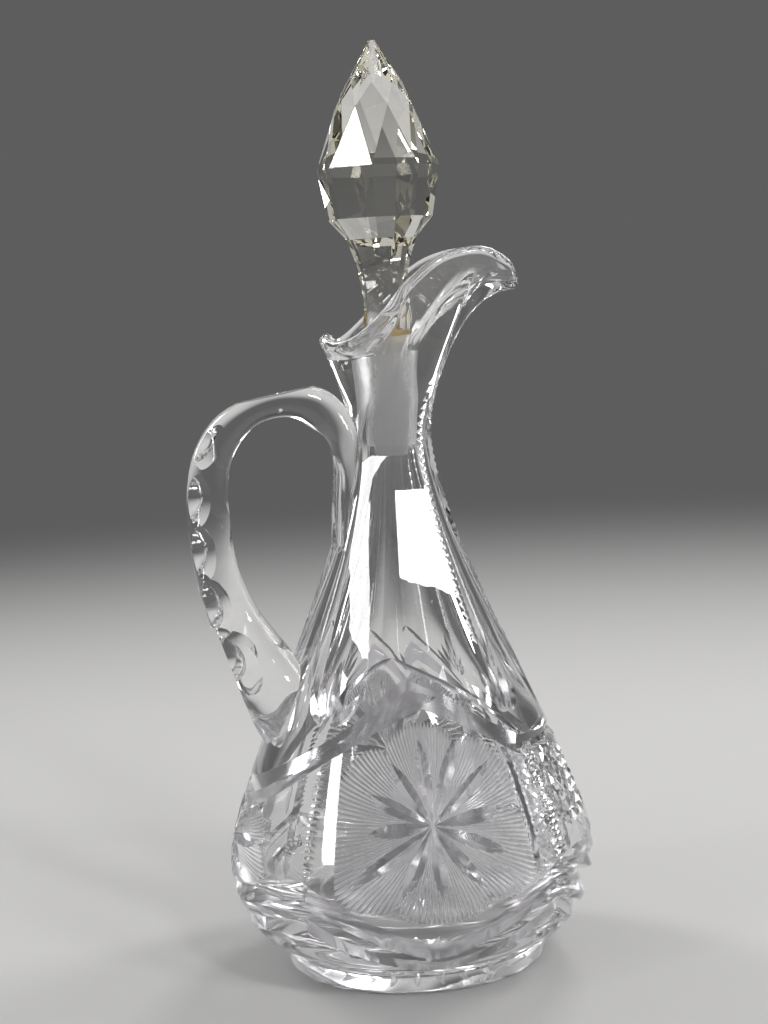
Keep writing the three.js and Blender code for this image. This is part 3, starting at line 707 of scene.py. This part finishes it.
def column(rosette, hand):
    """Upright bar with mitres and a comb of notches, and a fan above it."""
    centre = rosette + hand * COLUMN_ANGLE
    by_handle = int(math.cos(math.radians(centre)) < 0)
    middle = centre + hand * COMB_OFFSETS[by_handle]
    reach = COMB_HALF_LENGTHS[by_handle]
    comb = notches(middle, *COMB_Z, COMB_PITCH, reach, COMB_PITCH / 2, COMB_DEPTH)
    mitres = sorted(centre + hand * offset for offset in MITRE_OFFSETS[by_handle])
    soft = [upright(angle) for angle in mitres] + fans(centre)
    if by_handle:
        border = bevel_cut(BORDER_DEEP, BORDER_SHALLOW, rosette, hand, BORDER_DEPTHS)
        return {CRYSTAL: [border] + comb, CUT: soft}
    panel = 360 / FLUTES
    matt = hatch(centre + hand * HATCH_OFFSET, HATCH_HALF_ANGLE, *COLUMN_Z, HATCH_PITCH, HATCH_DEPTH)
    return {CRYSTAL: ridge_notches(panel * round(centre / panel)) + comb, CUT: soft, GROUND: matt}


def foot_star():
    cuts = []
    share = np.linspace(0, 1, FOOT_RAY_STATIONS)
    inner, outer = FOOT_RAY_REACH
    down = np.tile(-UP, (FOOT_RAY_STATIONS, 1))
    for k in range(FOOT_RAYS):
        points = polar(inner + (outer - inner) * share, (k + 0.5) * 360 / FOOT_RAYS, 0.0)
        cuts.append(groove(points, down, FOOT_RAY_WIDTH, FOOT_RAY_DEPTH, 1 - (2 * share - 1) ** 2))
    return cuts


def ellipsoid(centre, axes):
    """Closed solid from a centre and three half axes."""
    a = np.linspace(0, 2 * np.pi, DIMPLE_SIDES, endpoint=False)
    rings = []
    for t in np.linspace(DIMPLE_POLE, np.pi - DIMPLE_POLE, DIMPLE_ROWS):
        ring = [np.cos(a) * np.sin(t), np.sin(a) * np.sin(t), np.full(DIMPLE_SIDES, -np.cos(t))]
        rings.append(centre + np.stack(ring, -1) @ axes)
    return loft(rings)


def thumbprints():
    cuts = []
    lean = math.radians(THUMBPRINT_LEAN)
    centre, along, outward, size = handle_frame(np.array(THUMBPRINTS))
    for c, d, o, (thick, wide) in zip(centre, along, outward, size):
        power = HANDLE_SQUARENESS
        reach = ((math.cos(lean) / thick) ** power + (math.sin(lean) / wide) ** power) ** (-1 / power)
        for hand in (1, -1):
            towards = o * math.cos(lean) + np.array([0, hand * math.sin(lean), 0])
            across = np.cross(d, towards)
            out, wide_axis, long_axis = THUMBPRINT_AXES
            axes = np.array([towards * out, across * wide_axis, d * long_axis])
            cuts.append(ellipsoid(c + towards * (reach + out - THUMBPRINT_DEPTH), axes))
    return cuts


def handle_flat(start, end):
    a = np.array([-start[0], 0, start[1]])
    b = np.array([-end[0], 0, end[1]])
    out = unit(np.cross(np.array([0.0, 1.0, 0.0]), b - a))
    if out[0] > 0 and out[2] < 0:
        out = -out
    a = a - out * FLAT_DEPTH
    b = b - out * FLAT_DEPTH
    wide = np.array([0, FLAT_HALF_WIDTH, 0])
    top = out * FLAT_TOP
    return loft([np.array([p - wide, p + wide, p + wide + top, p - wide + top]) for p in (a, b)])


# Blender meshes
def make_object(name, solid, materials, index=CRYSTAL):
    points, faces = solid
    mesh = bpy.data.meshes.new(name)
    mesh.from_pydata((np.asarray(points) * MM).tolist(), [], faces)
    mesh.validate()
    for material in materials:
        mesh.materials.append(material)
    mesh.polygons.foreach_set("material_index", np.full(len(mesh.polygons), index))
    thing = bpy.data.objects.new(name, mesh)
    bpy.context.scene.collection.objects.link(thing)
    if signed_volume(mesh) < 0:
        mesh.flip_normals()
    return thing


def signed_volume(mesh):
    mesh.calc_loop_triangles()
    points = np.empty(len(mesh.vertices) * 3)
    mesh.vertices.foreach_get("co", points)
    corners = np.empty(len(mesh.loop_triangles) * 3, int)
    mesh.loop_triangles.foreach_get("vertices", corners)
    a, b, c = points.reshape(-1, 3)[corners.reshape(-1, 3)].transpose(1, 0, 2)
    return (a * np.cross(b, c)).sum() / 6


def combine(target, solids, operation, materials, index=CRYSTAL):
    """Boolean of an object with many closed solids at once."""
    group = bpy.data.collections.new("operands")
    bpy.context.scene.collection.children.link(group)
    parts = []
    for k, solid in enumerate(solids):
        part = make_object("operand_" + str(k), solid, materials, index)
        bpy.context.scene.collection.objects.unlink(part)
        group.objects.link(part)
        parts.append(part)
    modifier = target.modifiers.new("combine", "BOOLEAN")
    modifier.solver = "MANIFOLD"
    modifier.operation = operation
    modifier.operand_type = "COLLECTION"
    modifier.collection = group
    graph = bpy.context.evaluated_depsgraph_get()
    result = bpy.data.meshes.new_from_object(target.evaluated_get(graph))
    target.modifiers.clear()
    target.data = result
    for part in parts:
        mesh = part.data
        bpy.data.objects.remove(part)
        bpy.data.meshes.remove(mesh)
    bpy.data.collections.remove(group)


def shade(thing, angle):
    mesh = thing.data
    mesh.polygons.foreach_set("use_smooth", np.ones(len(mesh.polygons), bool))
    mesh.set_sharp_from_angle(angle=math.radians(angle))
    mesh.update()


def ground_faces(thing, test):
    """Gives the ground finish to faces whose centre passes the test."""
    for face in thing.data.polygons:
        x, y, z = face.center / MM
        if test(math.hypot(x, y), z):
            face.material_index = GROUND


# Materials
LEAD_GLASS_IOR = 1.545
CRYSTAL_TINT = (0.955, 0.95, 0.965)
# Tint, its density, roughness from and to, waviness, scale of the waves, transmission
FINISHES = {
    "crystal_polished": (CRYSTAL_TINT, 3.0, (0.0, 0.012), 0.02, 60.0, 1.0),
    "crystal_matt": (CRYSTAL_TINT, 3.0, (0.30, 0.40), 0.2, 900.0, 0.78),
    "crystal_cut": (CRYSTAL_TINT, 3.0, (0.14, 0.22), 0.02, 120.0, 1.0),
    "stopper_polished": ((0.98, 0.945, 0.74), 10.0, (0.0, 0.012), 0.015, 60.0, 1.0),
    "stopper_matt": ((0.97, 0.94, 0.80), 3.0, (0.34, 0.44), 0.2, 900.0, 0.78),
}


def glass(name, tint, density, roughness, waviness, wave_scale, clearness):
    material = bpy.data.materials.new(name)
    material.use_nodes = True
    tree = material.node_tree
    shader = tree.nodes["Principled BSDF"]
    output = tree.nodes["Material Output"]
    shader.inputs["Base Color"].default_value = (1, 1, 1, 1)
    shader.inputs["IOR"].default_value = LEAD_GLASS_IOR
    shader.inputs["Transmission Weight"].default_value = clearness
    absorb = tree.nodes.new("ShaderNodeVolumeAbsorption")
    absorb.inputs["Color"].default_value = (*tint, 1)
    absorb.inputs["Density"].default_value = density
    tree.links.new(absorb.outputs["Volume"], output.inputs["Volume"])
    place = tree.nodes.new("ShaderNodeTexCoord")
    noise = tree.nodes.new("ShaderNodeTexNoise")
    noise.inputs["Scale"].default_value = wave_scale
    noise.inputs["Detail"].default_value = 3.0
    tree.links.new(place.outputs["Object"], noise.inputs["Vector"])
    spread = tree.nodes.new("ShaderNodeMapRange")
    spread.inputs["To Min"].default_value = roughness[0]
    spread.inputs["To Max"].default_value = roughness[1]
    tree.links.new(noise.outputs["Fac"], spread.inputs["Value"])
    tree.links.new(spread.outputs["Result"], shader.inputs["Roughness"])
    bump = tree.nodes.new("ShaderNodeBump")
    bump.inputs["Strength"].default_value = waviness
    bump.inputs["Distance"].default_value = 0.0005
    tree.links.new(noise.outputs["Fac"], bump.inputs["Height"])
    tree.links.new(bump.outputs["Normal"], shader.inputs["Normal"])
    return material


# Vessel piece
def build_vessel(materials):
    vessel = make_object("vessel_glass", vessel_skin(), materials)
    handle = make_object("handle_work", handle_skin(), materials)
    combine(handle, [core_skin()], "DIFFERENCE", materials)
    handle_points = np.empty(len(handle.data.vertices) * 3)
    handle.data.vertices.foreach_get("co", handle_points)
    handle_solid = (handle_points.reshape(-1, 3) / MM, [list(p.vertices) for p in handle.data.polygons])
    bpy.data.objects.remove(handle)
    combine(vessel, [handle_solid], "UNION", materials)
    groups = [spout_panel(), handle_panel(), {CUT: foot_star()}]
    groups.append({CRYSTAL: thumbprints() + [handle_flat(*ends) for ends in HANDLE_FLATS]})
    for centre in (FRONT, BACK):
        groups += [rosette_panel(centre), column(centre, -1), column(centre, 1)]
    for index in (GROUND, CUT, CRYSTAL):
        cuts = [cut for group in groups for cut in group.get(index, [])]
        combine(vessel, cuts, "DIFFERENCE", materials, index)
    ground_faces(vessel, lambda r, z: BORE_BOTTOM_Z < z < BORE_TOP_Z and r < GROUND_BORE_RADIUS)
    shade(vessel, SHARP_ANGLE)
    return vessel


# Stopper piece
def octagon(radius, z):
    across = np.radians(stopper_angles % STOPPER_STEP - STOPPER_STEP / 2)
    flat = radius * math.cos(math.radians(STOPPER_STEP / 2)) / np.cos(across)
    return polar(flat, stopper_angles + STOPPER_TURN, z)


def stopper_lower():
    """Ground plug, eight-sided stem and collar, up to the girdle."""
    widening = PLUG_TOP_RADIUS - PLUG_BOTTOM_RADIUS
    plug = [(PLUG_BOTTOM_RADIUS - inset, PLUG_BOTTOM_Z - drop) for inset, drop in PLUG_END]
    for t in np.linspace(0, 1, PLUG_ROWS):
        plug.append((PLUG_BOTTOM_RADIUS + widening * t, PLUG_BOTTOM_Z + PLUG_LENGTH * t))
    rings = [polar(r, stopper_angles + STOPPER_TURN, z) for r, z in plug]
    narrowing, drop = STEM_BEND
    wider, rise = STEM_FOOT
    bend = COLLAR_RADIUS + (STEM_RADIUS - COLLAR_RADIUS) * narrowing
    drops = [
        (COLLAR_RADIUS, COLLAR_DROP),
        (bend, COLLAR_DROP + (STEM_DROP - COLLAR_DROP) * drop),
        (STEM_RADIUS, STEM_DROP),
        (STEM_RADIUS + wider, GIRDLE_Z - PLUG_TOP_Z - rise),
    ]
    stem = catmull([(r, GIRDLE_Z - down, 0) for r, down in drops], np.linspace(1, 0, STEM_ROWS))
    rings += [octagon(r, z) for r, z, _ in stem]
    rings += [octagon(CULET_RADIUS, GIRDLE_Z - CULET_DROP), octagon(GIRDLE_RADIUS, GIRDLE_Z)]
    return loft(rings)


def stopper_head():
    """Eight triangles, eight kites and eight long faces above the girdle."""
    narrowing = math.cos(math.pi / STOPPER_SIDES)
    tip_rise = TIP_Z - GIRDLE_Z
    slope = (GIRDLE_RADIUS - POINT_RADIUS * narrowing) / POINT_RISE
    top_slope = POINT_RADIUS / (tip_rise - POINT_RISE)
    kite_rise = (top_slope * tip_rise - GIRDLE_RADIUS * narrowing) / (top_slope - slope * narrowing)
    corners = np.arange(STOPPER_SIDES) * STOPPER_STEP + STOPPER_TURN
    between = corners + STOPPER_STEP / 2
    rings = [
        polar(GIRDLE_RADIUS, corners, GIRDLE_Z),
        polar(POINT_RADIUS, between, GIRDLE_Z + POINT_RISE),
        polar(GIRDLE_RADIUS - slope * kite_rise, corners, GIRDLE_Z + kite_rise),
        polar(TIP_FLAT, between, TIP_Z),
    ]
    base, point, kite, tip = (k * STOPPER_SIDES for k in range(4))
    faces = [list(range(STOPPER_SIDES))[::-1], list(range(tip, tip + STOPPER_SIDES))]
    for k in range(STOPPER_SIDES):
        n = (k + 1) % STOPPER_SIDES
        faces += [
            [base + k, base + n, point + k],
            [base + n, kite + n, point + k],
            [base + k, point + k, kite + k],
            [point + k, kite + n, tip + k],
            [kite + n, tip + n, tip + k],
            [kite + k, point + k, tip + k],
        ]
    return np.concatenate(rings), faces


def build_stopper(materials):
    stopper = make_object("stopper_glass", stopper_lower(), materials)
    combine(stopper, [stopper_head()], "UNION", materials)
    ground_faces(stopper, lambda r, z: z < GROUND_PLUG_TOP_Z)
    shade(stopper, STOPPER_SHARP_ANGLE)
    return stopper


finishes = [glass(name, *settings) for name, settings in FINISHES.items()]
crystal, crystal_matt, crystal_cut, straw, straw_matt = finishes

vessel = build_vessel([crystal, crystal_matt, crystal_cut])
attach(vessel, "vessel")
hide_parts("body", "foot", "handle")
stopper = build_stopper([straw, straw_matt])
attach(stopper, "stopper")
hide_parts("stopper")


# Camera, from the photograph: distance and height in millimetres, angles in degrees
CAMERA_AZIMUTH = -7.0
CAMERA_DISTANCE = 501.0
CAMERA_HEIGHT = 177.5
CAMERA_PITCH = 6.68
CAMERA_ROLL = 2.9
CAMERA_YAW = 0.33
CAMERA_FOCAL = 67.6

# Floor, background and light. The floor is pale and plain round the cruet, and fades to the darker
# grey of the background, so no line shows where they meet. A level of 1 is white.
FLOOR_GREY = (0.56, 0.555, 0.55)
FLOOR_DROP = 0.00005  # metres below the foot
BACKDROP_LEVEL = 0.11
FLOOR_FADE = (0.18, 1.1)  # metres from the axis
FLOOR_SIZE = 6.0  # metres
# Soft light from all round, as level by the sine of the elevation
SKY = [(0.0, BACKDROP_LEVEL), (0.25, BACKDROP_LEVEL), (0.35, 0.07), (0.52, 0.07)]
SKY += [(0.62, 0.5), (0.88, 0.5), (1.0, 0.15)]
# Softboxes: azimuth from the camera and elevation in degrees; distance, width and height in metres;
# watts; lean in degrees. Each window stands where the photograph's flutes and facets mirror one.
SOFTBOXES = {
    "window_right": (47.5, 21.65, 1.0, 0.18, 0.139, 2.0, 0),
    "window_high": (-59.5, 33.4, 1.04, 0.09, 0.10, 0.8, 0),
    "strip_left": (-45.5, 20.5, 1.0, 0.015, 0.46, 0.38, 10),
    "window_fan": (29.5, 41.0, 1.0, 0.08, 0.28, 1.8, 0),
    "rim_left": (-128.0, 27.0, 1.0, 0.26, 0.56, 3.6, 0),
    "rim_right": (119.0, 27.0, 1.0, 0.26, 0.56, 3.6, 0),
    "window_back": (158.0, 38.0, 1.1, 0.30, 0.22, 3.0, 0),
}
SOFTBOX_AIM = (0, 0, 0.12)


def build_floor():
    material = bpy.data.materials.new("floor_pale")
    material.use_nodes = True
    tree = material.node_tree
    shader = tree.nodes["Principled BSDF"]
    shader.inputs["Base Color"].default_value = (*FLOOR_GREY, 1)
    shader.inputs["Roughness"].default_value = 0.8
    place = tree.nodes.new("ShaderNodeNewGeometry")
    length = tree.nodes.new("ShaderNodeVectorMath")
    length.operation = "LENGTH"
    tree.links.new(place.outputs["Position"], length.inputs[0])
    fade = tree.nodes.new("ShaderNodeMapRange")
    fade.interpolation_type = "SMOOTHSTEP"
    fade.inputs["From Min"].default_value = FLOOR_FADE[0]
    fade.inputs["From Max"].default_value = FLOOR_FADE[1]
    tree.links.new(length.outputs["Value"], fade.inputs["Value"])
    far = tree.nodes.new("ShaderNodeEmission")
    far.inputs["Color"].default_value = (BACKDROP_LEVEL, BACKDROP_LEVEL, BACKDROP_LEVEL, 1)
    mix = tree.nodes.new("ShaderNodeMixShader")
    tree.links.new(fade.outputs["Result"], mix.inputs[0])
    tree.links.new(shader.outputs["BSDF"], mix.inputs[1])
    tree.links.new(far.outputs["Emission"], mix.inputs[2])
    tree.links.new(mix.outputs["Shader"], tree.nodes["Material Output"].inputs["Surface"])
    mesh = bpy.data.meshes.new("floor")
    corners = [(-1, -1), (1, -1), (1, 1), (-1, 1)]
    points = [(x * FLOOR_SIZE, y * FLOOR_SIZE, -FLOOR_DROP) for x, y in corners]
    mesh.from_pydata(points, [], [[0, 1, 2, 3]])
    mesh.materials.append(material)
    floor = bpy.data.objects.new("floor", mesh)
    bpy.context.scene.collection.objects.link(floor)


def build_world():
    world = bpy.data.worlds.new("studio")
    world.use_nodes = True
    bpy.context.scene.world = world
    tree = world.node_tree
    background = tree.nodes["Background"]
    place = tree.nodes.new("ShaderNodeTexCoord")
    split = tree.nodes.new("ShaderNodeSeparateXYZ")
    tree.links.new(place.outputs["Generated"], split.inputs["Vector"])
    ramp = tree.nodes.new("ShaderNodeValToRGB")
    ramp.color_ramp.elements[0].position = SKY[0][0]
    ramp.color_ramp.elements[1].position = SKY[-1][0]
    for position, _ in SKY[1:-1]:
        ramp.color_ramp.elements.new(position)
    for element, (_, level) in zip(ramp.color_ramp.elements, SKY):
        element.color = (level, level, level, 1)
    tree.links.new(split.outputs["Z"], ramp.inputs["Fac"])
    tree.links.new(ramp.outputs["Color"], background.inputs["Color"])


def add_softbox(name, azimuth, elevation, distance, width, height, power, lean):
    light = bpy.data.lights.new(name, "AREA")
    light.shape = "RECTANGLE"
    light.size = width
    light.size_y = height
    light.energy = power
    lamp = bpy.data.objects.new(name, light)
    a, e = math.radians(CAMERA_AZIMUTH + azimuth), math.radians(elevation)
    aim = Vector(SOFTBOX_AIM)
    away = Vector((math.sin(a) * math.cos(e), -math.cos(a) * math.cos(e), math.sin(e)))
    lamp.location = aim + away * distance
    lamp.rotation_mode = "QUATERNION"
    lamp.rotation_quaternion = (-away).to_track_quat("-Z", "Y") @ Quaternion((0, 0, 1), math.radians(lean))
    bpy.context.scene.collection.objects.link(lamp)


def build_camera():
    data = bpy.data.cameras.new("camera")
    data.lens = CAMERA_FOCAL
    data.sensor_width = 36.0
    data.clip_start = 0.01
    camera = bpy.data.objects.new("camera", data)
    a = math.radians(CAMERA_AZIMUTH)
    back = Vector((math.sin(a), -math.cos(a), 0))
    camera.location = (back * CAMERA_DISTANCE + Vector((0, 0, CAMERA_HEIGHT))) * MM
    level = Matrix.Rotation(a, 4, "Z") @ Matrix.Rotation(math.pi / 2, 4, "X")
    turn = Matrix.Rotation(math.radians(CAMERA_YAW), 4, "Y")
    tilt = Matrix.Rotation(-math.radians(CAMERA_PITCH), 4, "X")
    roll = Matrix.Rotation(-math.radians(CAMERA_ROLL), 4, "Z")
    camera.matrix_world = Matrix.Translation(camera.location) @ level @ turn @ tilt @ roll
    bpy.context.scene.collection.objects.link(camera)
    bpy.context.scene.camera = camera


build_floor()
build_world()
for name, settings in SOFTBOXES.items():
    add_softbox(name, *settings)
build_camera()
scene = bpy.context.scene
scene.view_settings.view_transform = "Standard"
scene.cycles.max_bounces = 32
scene.cycles.transmission_bounces = 28
scene.cycles.glossy_bounces = 10
scene.cycles.diffuse_bounces = 4
scene.cycles.transparent_max_bounces = 16
